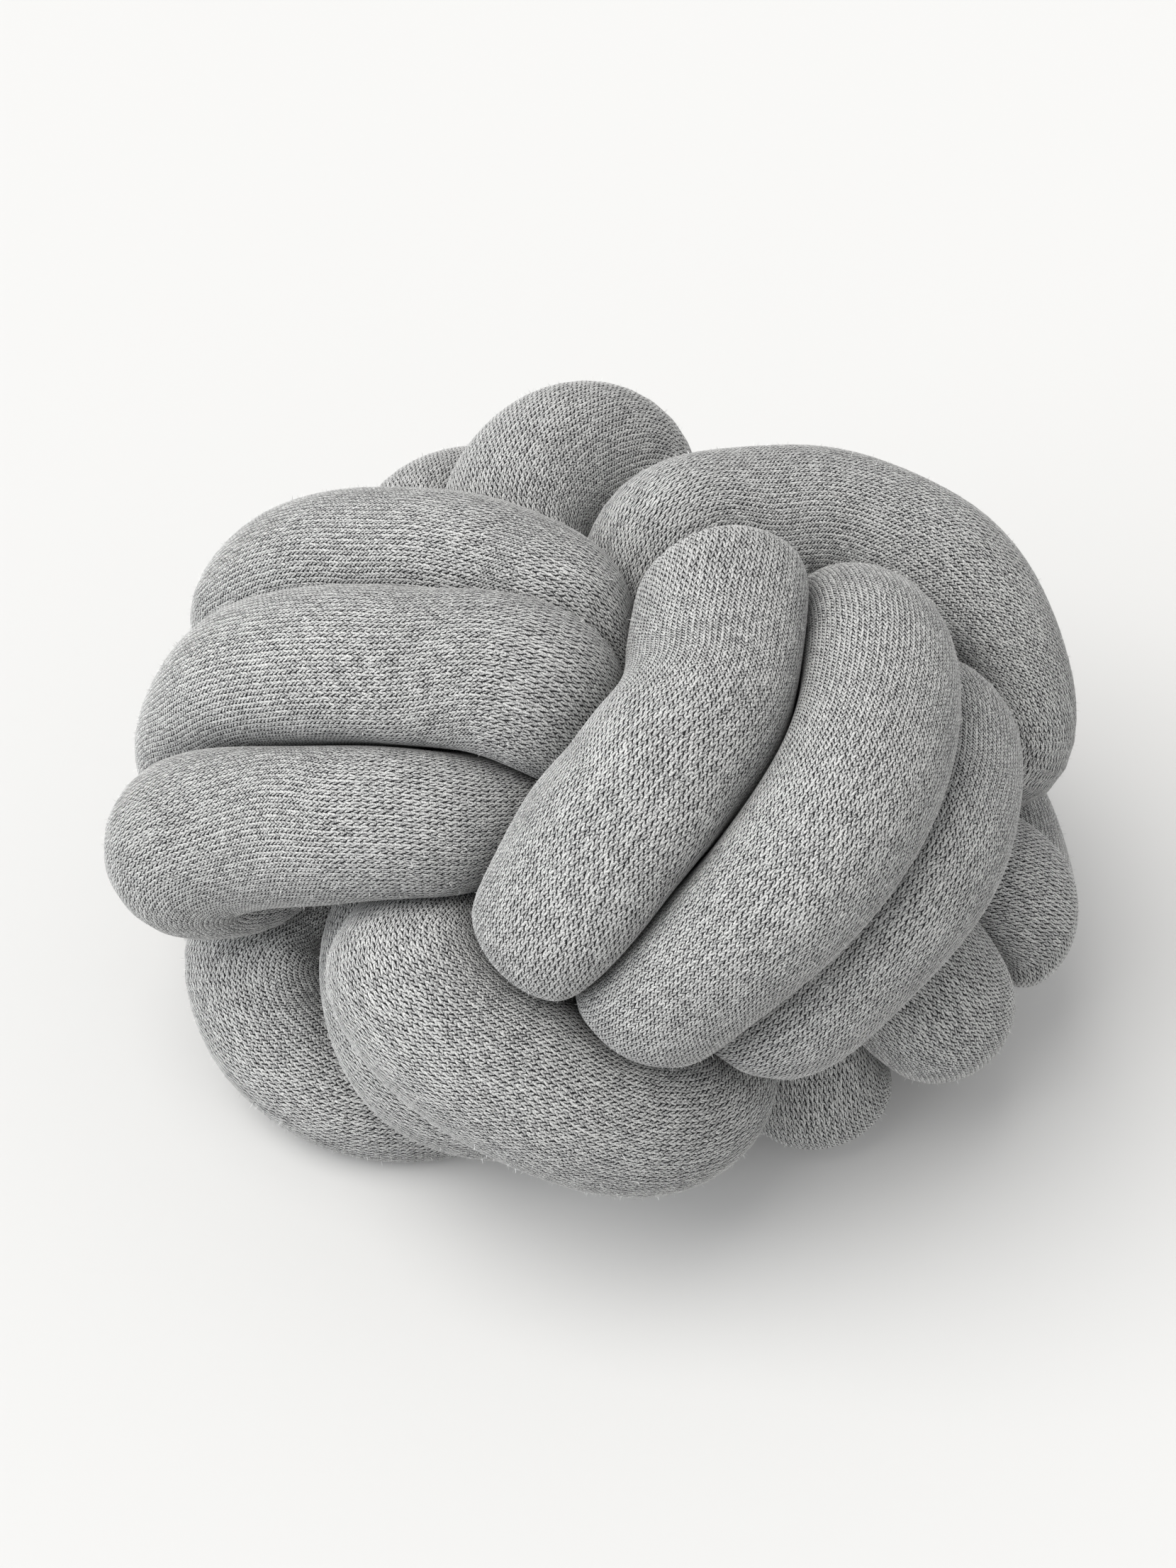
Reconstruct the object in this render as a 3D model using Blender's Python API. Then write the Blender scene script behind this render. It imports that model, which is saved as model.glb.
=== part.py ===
"""Knot cushion: one long stuffed tube of knitted cloth, tied in a ball-shaped knot of three coils.

The tube is closed on itself, because its two ends are sewn together inside the knot. It is laid as a
loose line first, pulled tight until its strands press against each other, and then given its skin.
Sizes in the tables are millimetres and degrees; the finished mesh is in metres, +Z up, resting on Z = 0.
"""

import math
from collections import namedtuple

import bmesh
import bpy
import numpy as np

MM = 0.001

# The cushion.
TUBE_RADIUS = 25.0        # the free, unpressed tube
REST_HEIGHT = 192.0       # top of the knot over the floor, before the floor presses it
HALF_WIDTH = 125.0        # centre line, left and right of the middle
FRONT_REACH = 128.0       # centre line, toward the front
BACK_REACH = 112.0        # centre line, toward the back
FLOOR_SINK = 3.0          # how deep the floor presses into the lowest strands
CLOTH_COLOUR = (0.42, 0.42, 0.41, 1.0)
CLOTH_ROUGHNESS = 0.95

# The loose knot: three coils, each lying across the next one.
COIL_TURNS = 3
TURN_PITCH = 44.0         # from strand to strand inside a coil
LONG_REACH = 132.0        # where a coil lies open over another
SHORT_REACH = 88.0        # where a coil dives under another
SHIFT_SPAN = 0.30         # part of a turn over which it steps to its neighbour
TURN_SAMPLES = 96
SQUARENESS = 0.7          # under 1, a turn is squarer than an ellipse
LINK_SAMPLES = 30         # points of the links that join the coils inside
LINK_START = 60.0         # how far a link follows its coil
LINK_SWING = 220.0        # how wide it swings through the core
LOOP = 4.0 * COIL_TURNS   # route parameter round the tube: three turns and one link, three times

# The corner where the three coils meet, as a direction (right, up, near) to the viewer, and its turn.
CORNER = (-0.342, -0.342, 0.875)
CORNER_TURN = 25.0
SIGHT_ELEVATION = 48.0    # the strands' places below are seen from this height over the floor
SIGHT_DISTANCE = 1300.0   # and from this far away

# Half of the distance kept between two strands, by place.
OPEN_KEEP = 21.5          # lying open on a face
UNDER_KEEP = 15.0         # pressed under a crossing coil
CORE_KEEP = 11.0          # the links inside the knot

# Tying: how the line is tightened.
ROUTE_STEP = 11.0         # spacing of the centre line's points
TIE_STAGES = 14
STAGE_STEPS = 40
HEIGHT_SLACK = 60.0       # room over and under the knot at the first stage
REACH_SLACK = 20.0        # room round it
PLACE_STEPS = 480
TIE_TENSION = 0.30
PLACE_TENSION = 0.25
STIFFNESS = 0.08
REFRESH = 10              # steps between two respacings
NEIGHBOURS = 5            # points along the tube that never push each other
PUSH_RATE = 0.6
PUSH_LIMIT = 2.5
CROWD_POWER = 0.6
PIN_RATE = 0.3
PIN_SPREAD = 3
PIN_LIMIT = 8.0
BOX_RATE = 0.5
BOX_LIMIT = 4.0
BOX_SPAN = 0.305          # part of a turn, to each side of a face's middle, that a box holds
DIVE = 0.25               # how fast the ends of the near strands dive away from the viewer
EVEN_SHARES = (0.5, -0.52) * 3

# The skin.
RING_COUNT = 480
RING_SIDES = 12
STRAND_GAP = 1.2          # kept to the plane between two strands, each side
HIDDEN_SWELL = 3.0        # how much fuller it is where a crossing coil hides it
CORE_SWELL = 10.0         # how far it bulges into the hollow of the knot
SWELL_SPAN = (0.18, 0.34)  # part of a turn, from a face's middle, over which a strand's own swell fades
LEAST_RADIUS = 3.0
BLEND_POWER = 8.0         # how sharply a pressed side turns into a round one
SAMPLE_STEP = 5.0
OWN_REACH = 16.0          # the line closer than this never presses a ring
PRESS_REACH = 90.0
SAME_STRAND = 60.0        # along the tube, closer than this is the same strand
BIAS_SHARE = 0.4          # how far the fuller of two strands may push the plane between them

# The strands that show, as seen by the viewer, in millimetres from the middle of the view.
#   coil, turn: which coil of the tube and which of its turns
#   face: 0 on the near side of the knot, 1 on its far side
#   lift: toward the viewer, a step
#   swell: how much fuller than the free tube it is stuffed
#   box: (left, right, low, high) that the strand's centre line keeps inside, with its ends
#   pins: (right, up) of places that the centre line passes
Strand = namedtuple("Strand", "coil turn face lift swell box pins")
FREE = 200.0
STRANDS = {
    "near left, lower": Strand(0, 2, 0, 0.0, 0.0, (-128, FREE, -30, -6),
                               ((-128, -22), (-123, -15), (-104, -12), (-83, -10), (-64, -9),
                                (-45, -9), (-31, -11))),
    "near left, middle": Strand(0, 1, 0, 0.0, 1.0, (-112, FREE, -FREE, 34),
                                ((-111, 14), (-109, 25), (-98, 31), (-83, 34), (-67, 34), (-45, 32),
                                 (-24, 26), (-5, 20))),
    "near left, upper": Strand(0, 0, 0, 0.0, 1.0, (-104, FREE, -FREE, 64),
                               ((-103, 42), (-95, 52), (-78, 61), (-60, 64), (-41, 62), (-21, 57),
                                (-5, 48))),
    "near right, first": Strand(1, 2, 0, 0.2, 2.0, (-9, 42, -39, 51),
                                ((41, 50), (39, 38), (35, 23), (25, 8), (14, -8), (3, -21), (-8, -36))),
    "near right, second": Strand(1, 1, 0, 0.0, 0.0, (18, 86, -58, 41),
                                 ((83, 40), (85, 31), (84, 15), (80, 0), (69, -16), (54, -31),
                                  (38, -45), (24, -55), (19, -58))),
    "near right, third": Strand(1, 0, 0, 0.0, 0.0, (46, 107, -63, 30),
                                ((104, 13), (106, -2), (100, -21), (86, -38), (71, -51), (56, -59),
                                 (47, -62))),
    "near below, first": Strand(2, 2, 0, 0.0, 4.0, (-53, 30, -94, FREE),
                                ((-52, -40), (-49, -56), (-42, -68), (-30, -79), (-19, -86),
                                 (-6, -91), (10, -93), (23, -92), (28, -90))),
    "near below, second": Strand(2, 1, 0, -0.5, 0.0, (-72, FREE, -94, FREE),
                                 ((-69, -55), (-63, -75), (-51, -88), (-34, -93), (-12, -93))),
    "near below, third": Strand(2, 0, 0, 0.0, 4.0, (-99, FREE, -92, FREE),
                                ((-98, -45), (-97, -55), (-94, -68), (-87, -77), (-76, -84),
                                 (-65, -88), (-50, -91), (-31, -90))),
    "far above, first": Strand(2, 2, 1, 0.0, -1.5, (26, 124, 5, 80),
                               ((26, 72), (33, 76), (42, 79), (52, 79), (66, 79), (82, 75), (97, 69),
                                (111, 60), (118, 48), (123, 36), (123, 22), (122, 12))),
    "far above, second": Strand(2, 1, 1, 0.0, 0.0, (-30, 9, 40, 98),
                                ((-20, 82), (-14, 93), (-4, 98), (6, 97))),
    "far above, third": Strand(2, 0, 1, 0.0, 0.0, (-50, FREE, 40, 82), ((-49, 71), (-41, 77), (-31, 80))),
    "far right, lower": Strand(0, 2, 1, 0.0, 2.0, (-FREE, 70, -89, FREE), ((69, -88),)),
    "far right, middle": Strand(0, 1, 1, 0.0, 0.0, (-FREE, 104, -65, FREE), ((103, -64),)),
    "far right, upper": Strand(0, 0, 1, 0.0, 0.0, (-FREE, 126, -45, FREE), ((125, -33),)),
    "far left, hidden": Strand(1, 2, 1, 0.0, 0.0, (-86, FREE, -FREE, FREE), ()),
}

# Small corrections of the tied line, a stretch to a row.
#   place, span: the stretch's middle as a route parameter, and how far it reaches to each side
#   move: (right, up, near) as seen by the viewer, in millimetres
#   swell: how much fuller than the free tube the stretch is stuffed
Nudge = namedtuple("Nudge", "place span move swell")
NUDGES = (
    Nudge(0.13, 0.06, (1.5, -0.5, 0.0), 0.0),       # near left, upper: left end, and the dive at the right
    Nudge(0.42, 0.08, (-1.0, -2.0, -2.0), 0.0),
    Nudge(0.48, 0.06, (-3.0, 0.0, -8.0), 0.0),
    Nudge(1.16, 0.07, (1.5, 0.0, 0.0), 0.0),        # near left, middle
    Nudge(1.41, 0.07, (0.0, 3.0, 0.0), 0.0),
    Nudge(1.47, 0.06, (-2.0, 0.0, -8.0), 0.0),
    Nudge(2.09, 0.09, (4.0, 15.0, -9.0), 0.0),      # near left, lower: its tail, tucked in behind it
    Nudge(2.44, 0.10, (0.0, 0.0, -7.0), 0.0),
    Nudge(4.38, 0.07, (-3.0, -4.0, 0.0), 0.5),      # near right, third: lower end
    Nudge(5.27, 0.20, (2.5, -1.5, 0.0), 0.0),       # near right, second
    Nudge(5.40, 0.08, (-4.5, -4.5, 0.0), 1.0),
    Nudge(6.15, 0.10, (-1.5, 5.0, 0.0), 1.0),       # near right, first: top end
    Nudge(6.21, 0.08, (-1.0, 0.0, 0.0), 0.0),
    Nudge(6.27, 0.20, (4.0, -1.0, 0.0), 0.5),
    Nudge(6.35, 0.08, (1.5, -0.5, 0.0), 0.0),
    Nudge(8.30, 0.12, (1.5, 1.0, 0.0), 0.0),        # near below, third
    Nudge(8.42, 0.10, (-1.0, 10.0, 4.0), 1.0),
    Nudge(9.25, 0.10, (3.0, 4.0, 0.0), 0.0),        # near below, second
    Nudge(9.37, 0.13, (9.0, 2.0, -3.0), 0.0),
    Nudge(10.19, 0.10, (1.0, -1.5, 0.0), 0.0),      # near below, first
    Nudge(10.42, 0.10, (1.0, 0.0, 5.0), 3.0),
    Nudge(8.64, 0.10, (3.0, -3.0, 0.0), 0.0),       # far above, third: the hump at the top left
    Nudge(10.60, 0.09, (4.0, 0.0, -3.0), 0.0),      # far above, first: its two ends
    Nudge(10.95, 0.06, (-1.5, 0.0, 0.0), 0.0),
    Nudge(9.74, 0.08, (2.5, 0.5, 0.0), 0.0),        # far above, second
    Nudge(0.68, 0.06, (2.0, -4.0, 0.0), 2.0),       # far right, upper
    Nudge(0.74, 0.09, (-3.0, -14.0, 0.0), 0.0),
)


def ease(t):
    t = np.clip(t, 0.0, 1.0)
    return t * t * (3.0 - 2.0 * t)


def unit(v):
    return v / np.maximum(np.linalg.norm(v, axis=-1, keepdims=True), 1e-9)


def dot(a, b):
    return (a * b).sum(-1, keepdims=True)


def before(line):
    return np.roll(line, 1, 0)


def after(line):
    return np.roll(line, -1, 0)


def across_only(move, tangent):
    """Nothing slides along the tube."""
    return move - tangent * dot(move, tangent)


def coil_axes():
    """Long, short and stacking direction of the three coils, in (right, up, near)."""
    corner = np.array(CORNER) / np.linalg.norm(CORNER)
    side = np.array((1.0, 0.0, 0.0)) - corner * corner[0]
    side /= np.linalg.norm(side)
    rise = np.cross(corner, side)
    axes = []
    for third in (1, 0, 2):
        turn = math.radians(CORNER_TURN + 120.0 * third)
        around = math.cos(turn) * side + math.sin(turn) * rise
        axes.append(corner / math.sqrt(3.0) + math.sqrt(2.0 / 3.0) * around)
    x, y, z = axes
    return (x, y, z), (y, z, x), (z, x, y)


def squared(wave):
    return np.sign(wave) * np.abs(wave) ** SQUARENESS


def coil_route(long_way, short_way, stack_way):
    """Three turns of a coil: under at phase 0 and 0.5, open at 0.25 and 0.75 of each turn."""
    turn = np.linspace(0.0, COIL_TURNS, COIL_TURNS * TURN_SAMPLES + 1)
    across = SHORT_REACH * squared(-np.cos(2.0 * np.pi * turn))
    along = LONG_REACH * squared(np.sin(2.0 * np.pi * turn))
    row = np.full_like(turn, -0.5 * (COIL_TURNS - 1))
    for step in range(1, COIL_TURNS):
        row += ease((turn - step) / SHIFT_SPAN + 0.5)
    return np.outer(along, long_way) + np.outer(across, short_way) + np.outer(row * TURN_PITCH, stack_way), turn


def link_route(start, leave, end, arrive):
    """A cubic curve from one coil's end to the next coil's start."""
    s = np.linspace(0.0, 1.0, LINK_SAMPLES + 2)[1:-1, None]
    line = (2 * s ** 3 - 3 * s ** 2 + 1) * start + (s ** 3 - 2 * s ** 2 + s) * leave
    return line + (3 * s ** 2 - 2 * s ** 3) * end + (s ** 3 - s ** 2) * arrive, s[:, 0]


def first_route():
    """The whole tube as a closed loose line, with the route parameter of each point."""
    coils = [(axes, *coil_route(*axes)) for axes in coil_axes()]
    points, route = [], []
    for k, (axes, line, turn) in enumerate(coils):
        next_axes, next_line, _ = coils[(k + 1) % 3]
        leave = LINK_START * unit(line[-1] - line[-2]) + LINK_SWING * axes[1]
        arrive = LINK_START * unit(next_line[1] - next_line[0]) - LINK_SWING * next_axes[1]
        link, share = link_route(line[-1], leave, next_line[0], arrive)
        points += [line, link]
        route += [4.0 * k + turn, 4.0 * k + COIL_TURNS + share]
    return np.vstack(points), np.concatenate(route)


def respace(points, route, count=None):
    """Even spacing along the closed line."""
    closed = np.vstack([points, points[:1]])
    gaps = np.mod(np.diff(np.append(route, route[0])), LOOP)
    value = route[0] + np.append(0.0, np.cumsum(gaps))
    run = np.append(0.0, np.cumsum(np.linalg.norm(np.diff(closed, axis=0), axis=1)))
    count = count or int(round(run[-1] / ROUTE_STEP))
    s = np.linspace(0.0, run[-1], count, endpoint=False)
    moved = np.stack([np.interp(s, run, line) for line in closed.T], 1)
    return moved, np.mod(np.interp(s, run, value), LOOP)


def keep_out(route):
    """Half of the distance that each point keeps from other strands."""
    phase = np.mod(route, 4.0)
    openness = np.clip(0.25 - np.abs(np.mod(phase, 0.5) - 0.25), 0.0, 0.25) / 0.25
    keep = UNDER_KEEP + (OPEN_KEEP - UNDER_KEEP) * ease((openness - 0.15) / 0.45)
    keep = np.where(phase > COIL_TURNS, CORE_KEEP, keep)
    for _ in range(3):
        keep = 0.25 * before(keep) + 0.5 * keep + 0.25 * after(keep)
    return keep


def near_pairs(points, reach):
    """Pairs of points of different strands that may touch before the next refresh."""
    square = sum((line[:, None] - line[None]) ** 2 for line in points.T)
    i, j = np.nonzero(np.triu(square < reach ** 2, NEIGHBOURS + 1))
    apart = np.minimum(j - i, len(points) - (j - i)) > NEIGHBOURS
    return i[apart], j[apart]


def push_apart(points, tangent, i, j, keep):
    """Strands closer than they keep move apart."""
    count = len(points)
    gap = points[j] - points[i]
    distance = np.linalg.norm(gap, axis=1)
    close = distance < keep
    gap, distance, i, j = gap[close], distance[close], i[close], j[close]
    shove = gap * ((keep[close] - distance) * 0.5 / distance)[:, None]
    crowd = np.bincount(i, minlength=count) + np.bincount(j, minlength=count)
    move = np.stack([np.bincount(j, part, count) - np.bincount(i, part, count) for part in shove.T], 1)
    move = PUSH_RATE * move / np.maximum(crowd, 1)[:, None] ** CROWD_POWER
    move = across_only(move, tangent)
    size = np.linalg.norm(move, axis=1, keepdims=True)
    return points + move * np.minimum(1.0, PUSH_LIMIT / np.maximum(size, 1e-9))


def place_strands(points, route, tangent):
    """Draw the open strands to their pins and keep them in their boxes, both as the viewer sees them."""
    shrink = (SIGHT_DISTANCE - points[:, 2]) / SIGHT_DISTANCE
    seen = points[:, :2] / shrink[:, None]
    offsets = np.arange(-PIN_SPREAD, PIN_SPREAD + 1)
    shares = np.exp(-2.0 * (offsets / PIN_SPREAD) ** 2)
    pull = np.zeros_like(points)
    weight = np.zeros(len(points))
    move = np.zeros_like(points)
    for strand in STRANDS.values():
        phase = route - 4.0 * strand.coil - strand.turn - 0.5 * strand.face
        lying = np.nonzero((phase > 0.03) & (phase < 0.47))[0]
        move[lying, 2] += strand.lift
        for pin in strand.pins:
            miss = np.array(pin) - seen[lying]
            nearest = np.argmin((miss ** 2).sum(1))
            share = (lying[nearest] + offsets) % len(points)
            pull[share, :2] += miss[nearest] * shrink[lying[nearest]] * shares[:, None]
            weight[share] += shares
        left, right, low, high = strand.box
        held = np.nonzero(np.abs(phase - 0.25) < BOX_SPAN)[0]
        inside = np.clip(seen[held], (left, low), (right, high))
        move[held, :2] += BOX_RATE * np.clip(inside - seen[held], -BOX_LIMIT, BOX_LIMIT)
        if strand.face == 0:
            diving = (np.abs(phase + 0.05) < 0.06) | (np.abs(phase - 0.55) < 0.06)
            move[diving, 2] -= DIVE
    pull /= np.maximum(weight, 1.0)[:, None]
    size = np.linalg.norm(pull, axis=1, keepdims=True)
    move += PIN_RATE * pull * np.minimum(1.0, PIN_LIMIT / np.maximum(size, 1e-9))
    return points + across_only(move, tangent)


def settle(points, route, steps, walls, tension, placed):
    """Pull the tube tight; strands keep apart, and walls hold the knot's height and reach."""
    for step in range(steps):
        if step % REFRESH == 0:
            points, route = respace(points, route)
            keep = keep_out(route)
            i, j = near_pairs(points, 2.0 * keep.max() + 12.0)
            pair_keep = keep[i] + keep[j]
        tangent = unit(after(points) - before(points))
        bend = 0.5 * (before(points) + after(points)) - points
        spring = 0.5 * (before(bend) + after(bend)) - bend
        points = points + across_only(tension * bend - STIFFNESS * spring, tangent)
        for _ in range(2):
            points = push_apart(points, tangent, i, j, pair_keep)
        if placed:
            points = place_strands(points, route, tangent)
        for way, low, high in walls:
            height = (points * way).sum(1)
            over = np.clip(low - height, 0.0, None) - np.clip(height - high, 0.0, None)
            points = points + 0.5 * np.outer(over, way)
    return points, route


def nudge_shares(route):
    """How much of each small correction each point takes."""
    place = np.array([nudge.place for nudge in NUDGES])
    span = np.array([nudge.span for nudge in NUDGES])
    off = np.abs(np.mod(route[:, None] - place + 0.5 * LOOP, LOOP) - 0.5 * LOOP)
    return ease(1.0 - off / span)


def tied_route():
    """The tight knot's centre line in (right, back, up) over the floor."""
    tilt = math.radians(SIGHT_ELEVATION)
    right = np.array((1.0, 0.0, 0.0))
    back = np.array((0.0, math.sin(tilt), -math.cos(tilt)))
    up = np.array((0.0, math.cos(tilt), math.sin(tilt)))
    half = 0.5 * REST_HEIGHT - TUBE_RADIUS
    points, route = respace(*first_route())
    for stage in range(TIE_STAGES):
        loose = 1.0 - (stage + 1) / TIE_STAGES
        height = half + HEIGHT_SLACK * loose
        slack = REACH_SLACK * loose
        walls = ((up, -height, height),
                 (right, -HALF_WIDTH - slack, HALF_WIDTH + slack),
                 (back, -FRONT_REACH - slack, BACK_REACH + slack))
        points, route = settle(points, route, STAGE_STEPS, walls, TIE_TENSION, placed=False)
    points, route = settle(points, route, PLACE_STEPS, walls, PLACE_TENSION, placed=True)
    points, route = respace(points, route)
    for share in EVEN_SHARES:
        points = points + share * (0.5 * before(points) + 0.5 * after(points) - points)
    points = points + nudge_shares(route) @ np.array([nudge.move for nudge in NUDGES])
    over_floor = half + TUBE_RADIUS - FLOOR_SINK
    return np.hstack([dot(points, right), dot(points, back), dot(points, up) + over_floor]), route


def ring_ways(points, sides):
    """Directions out of the tube's centre line, turning as little as possible and closing on themselves."""
    count = len(points)
    tangent = unit(after(points) - before(points))
    side = np.zeros_like(points)
    side[0] = unit(np.cross(tangent[0], (0.3, 0.5, 0.8)))
    for k in range(1, count):
        side[k] = unit(across_only(side[k - 1], tangent[k]))
    last = unit(across_only(side[-1], tangent[0]))
    miss = math.atan2(float(dot(np.cross(last, side[0]), tangent[0])[0]), float(dot(last, side[0])[0]))
    turn = (miss * np.arange(count) / count)[:, None]
    side = side * np.cos(turn) + np.cross(tangent, side) * np.sin(turn)
    across = np.cross(tangent, side)
    angle = np.linspace(0.0, 2.0 * np.pi, sides, endpoint=False)[None, :, None]
    return np.cos(angle) * side[:, None] + np.sin(angle) * across[:, None]


def strand_swell(route):
    """How much fuller than the free tube each point is, by the strand it is on."""
    full, none = SWELL_SPAN
    swell = np.zeros(len(route))
    for strand in STRANDS.values():
        middle = 4.0 * strand.coil + strand.turn + 0.5 * strand.face + 0.25
        off = np.abs(np.mod(route - middle + 0.5 * LOOP, LOOP) - 0.5 * LOOP)
        swell += strand.swell * ease((none - off) / (none - full))
    return swell + nudge_shares(route) @ np.array([nudge.swell for nudge in NUDGES])


def pressed_rings(points, route, sides, gap):
    """Rings of the tube, flattened where it meets itself and the floor."""
    ways = ring_ways(points, sides)
    length = np.linalg.norm(after(points) - points, axis=1).sum()
    others, other_route = respace(points, route, int(length / SAMPLE_STEP))
    room = (keep_out(route) * TUBE_RADIUS / OPEN_KEEP) ** 2
    other_room = (keep_out(other_route) * TUBE_RADIUS / OPEN_KEEP) ** 2
    place = np.arange(len(points)) / len(points)
    other_place = np.arange(len(others)) / len(others)
    limit = np.zeros((len(points), sides))
    for k, centre in enumerate(points):
        away = others - centre
        square = (away ** 2).sum(1)
        close = (square > OWN_REACH ** 2) & (square < PRESS_REACH ** 2)
        toward = (ways[k][:, None] * away[close][None]).sum(2)
        apart = np.abs(np.mod(other_place[close] - place[k] + 0.5, 1.0) - 0.5) * length
        most = BIAS_SHARE * square[close]
        bias = np.where(apart > SAME_STRAND, np.clip(room[k] - other_room[close], -most, most), 0.0)
        reach = square[close] + bias
        limit[k] = np.where(toward > 1e-6, reach / np.maximum(2.0 * toward, 2e-6), 1e6).min(1)
    limit = np.maximum(limit - gap, LEAST_RADIUS)
    hidden = np.clip((OPEN_KEEP - keep_out(route)) / (OPEN_KEEP - UNDER_KEEP), 0.0, 1.0)
    inward = unit(np.array((0.0, 0.0, 0.5 * REST_HEIGHT - FLOOR_SINK)) - points)
    bulge = np.clip((ways * inward[:, None]).sum(2), 0.0, 1.0)
    free = (TUBE_RADIUS + HIDDEN_SWELL * hidden + strand_swell(route))[:, None] + CORE_SWELL * bulge
    radius = (free ** -BLEND_POWER + limit ** -BLEND_POWER) ** (-1.0 / BLEND_POWER)
    for _ in range(3):
        along = 0.25 * before(radius) + 0.5 * radius + 0.25 * after(radius)
        around = 0.25 * np.roll(along, 1, 1) + 0.5 * along + 0.25 * np.roll(along, -1, 1)
        radius = np.minimum(around, limit)
    rings = points[:, None] + ways * radius[..., None]
    rings[..., 2] = np.maximum(rings[..., 2], 0.0)
    return rings


def on_floor_centre(rings):
    """The rings moved so that the middle of their reach is over the origin."""
    low, high = rings.min(axis=(0, 1)), rings.max(axis=(0, 1))
    middle = 0.5 * (low + high)
    return rings - (middle[0], middle[1], 0.0)


def closed_tube(name, rings):
    """A mesh through the rings, joined end to end."""
    count, sides = rings.shape[:2]
    bm = bmesh.new()
    verts = [[bm.verts.new(point * MM) for point in ring] for ring in rings]
    for k in range(count):
        here, there = verts[k], verts[(k + 1) % count]
        for side in range(sides):
            after_side = (side + 1) % sides
            bm.faces.new((here[side], there[side], there[after_side], here[after_side]))
    bmesh.ops.triangulate(bm, faces=bm.faces[:])
    bmesh.ops.recalc_face_normals(bm, faces=bm.faces[:])
    mesh = bpy.data.meshes.new(name)
    bm.to_mesh(mesh)
    bm.free()
    mesh.shade_smooth()
    return mesh


def cloth_material():
    material = bpy.data.materials.new("heather knit")
    material.use_nodes = True
    shader = material.node_tree.nodes["Principled BSDF"]
    shader.inputs["Base Color"].default_value = CLOTH_COLOUR
    shader.inputs["Roughness"].default_value = CLOTH_ROUGHNESS
    shader.inputs["Metallic"].default_value = 0.0
    return material


def main():
    for leftover in list(bpy.data.objects):
        bpy.data.objects.remove(leftover, do_unlink=True)
    cushion = bpy.data.collections.new("knot_cushion")
    bpy.context.scene.collection.children.link(cushion)
    centre, route = respace(*tied_route(), RING_COUNT)
    rings = on_floor_centre(pressed_rings(centre, route, RING_SIDES, STRAND_GAP))
    mesh = closed_tube("knot_tube", rings)
    mesh.materials.append(cloth_material())
    cushion.objects.link(bpy.data.objects.new("knot_tube", mesh))


main()
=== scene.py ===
"""Knot cushion, dressed: a stuffed tube of knitted cloth in a ball-shaped knot, on a pale floor.

The tube is laid and tied as its plain solid is, and then given a finer skin with its stitches. Sizes in the
knot's tables are millimetres; meshes, settings and the frame are in metres, +Z up.
"""

import math
from collections import namedtuple
from functools import lru_cache

import bpy
import numpy as np
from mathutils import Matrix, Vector

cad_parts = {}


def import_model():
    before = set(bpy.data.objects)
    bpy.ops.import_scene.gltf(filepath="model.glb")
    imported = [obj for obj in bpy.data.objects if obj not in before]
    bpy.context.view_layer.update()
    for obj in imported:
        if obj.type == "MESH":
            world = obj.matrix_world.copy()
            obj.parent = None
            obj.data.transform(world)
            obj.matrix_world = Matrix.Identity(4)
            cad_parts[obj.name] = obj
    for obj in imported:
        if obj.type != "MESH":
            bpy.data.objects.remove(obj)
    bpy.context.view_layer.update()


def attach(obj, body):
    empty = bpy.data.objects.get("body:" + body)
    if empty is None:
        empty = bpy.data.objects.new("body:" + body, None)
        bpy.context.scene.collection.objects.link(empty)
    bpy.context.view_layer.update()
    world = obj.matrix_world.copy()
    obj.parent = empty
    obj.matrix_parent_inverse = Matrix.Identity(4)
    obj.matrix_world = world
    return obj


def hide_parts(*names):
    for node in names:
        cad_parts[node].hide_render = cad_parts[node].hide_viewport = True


bl_info = {
    "name": "Knot Cushion",
    "version": (1, 0, 0),
    "blender": (4, 5, 0),
    "location": "3D View > Sidebar > Knot Cushion",
    "description": "A cushion made of one stuffed knitted tube, tied in a ball-shaped knot",
    "category": "Object",
}

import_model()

MM = 0.001
CLOTH_MAP = "cloth"

# The cushion.
TUBE_RADIUS = 25.0        # the free, unpressed tube
REST_HEIGHT = 192.0       # top of the knot over the floor, before the floor presses it
HALF_WIDTH = 125.0        # centre line, left and right of the middle
FRONT_REACH = 128.0       # centre line, toward the front
BACK_REACH = 112.0        # centre line, toward the back
FLOOR_SINK = 3.0          # how deep the floor presses into the lowest strands

# The loose knot: three coils, each lying across the next one.
COIL_TURNS = 3
TURN_PITCH = 44.0         # from strand to strand inside a coil
LONG_REACH = 132.0        # where a coil lies open over another
SHORT_REACH = 88.0        # where a coil dives under another
SHIFT_SPAN = 0.30         # part of a turn over which it steps to its neighbour
TURN_SAMPLES = 96
SQUARENESS = 0.7          # under 1, a turn is squarer than an ellipse
LINK_SAMPLES = 30         # points of the links that join the coils inside
LINK_START = 60.0         # how far a link follows its coil
LINK_SWING = 220.0        # how wide it swings through the core
LOOP = 4.0 * COIL_TURNS   # route parameter round the tube: three turns and one link, three times

# The corner where the three coils meet, as a direction (right, up, near) to the viewer, and its turn.
CORNER = (-0.342, -0.342, 0.875)
CORNER_TURN = 25.0
SIGHT_ELEVATION = 48.0    # the strands' places below are seen from this height over the floor
SIGHT_DISTANCE = 1300.0   # and from this far away

# Half of the distance kept between two strands, by place.
OPEN_KEEP = 21.5          # lying open on a face
UNDER_KEEP = 15.0         # pressed under a crossing coil
CORE_KEEP = 11.0          # the links inside the knot
KEEP_START = 0.15         # how open a place is, from 0 to 1, where its keep begins to grow
KEEP_FADE = 0.45          # and over how much more openness it grows
KEEP_PASSES = 3           # evenings along the tube

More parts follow.
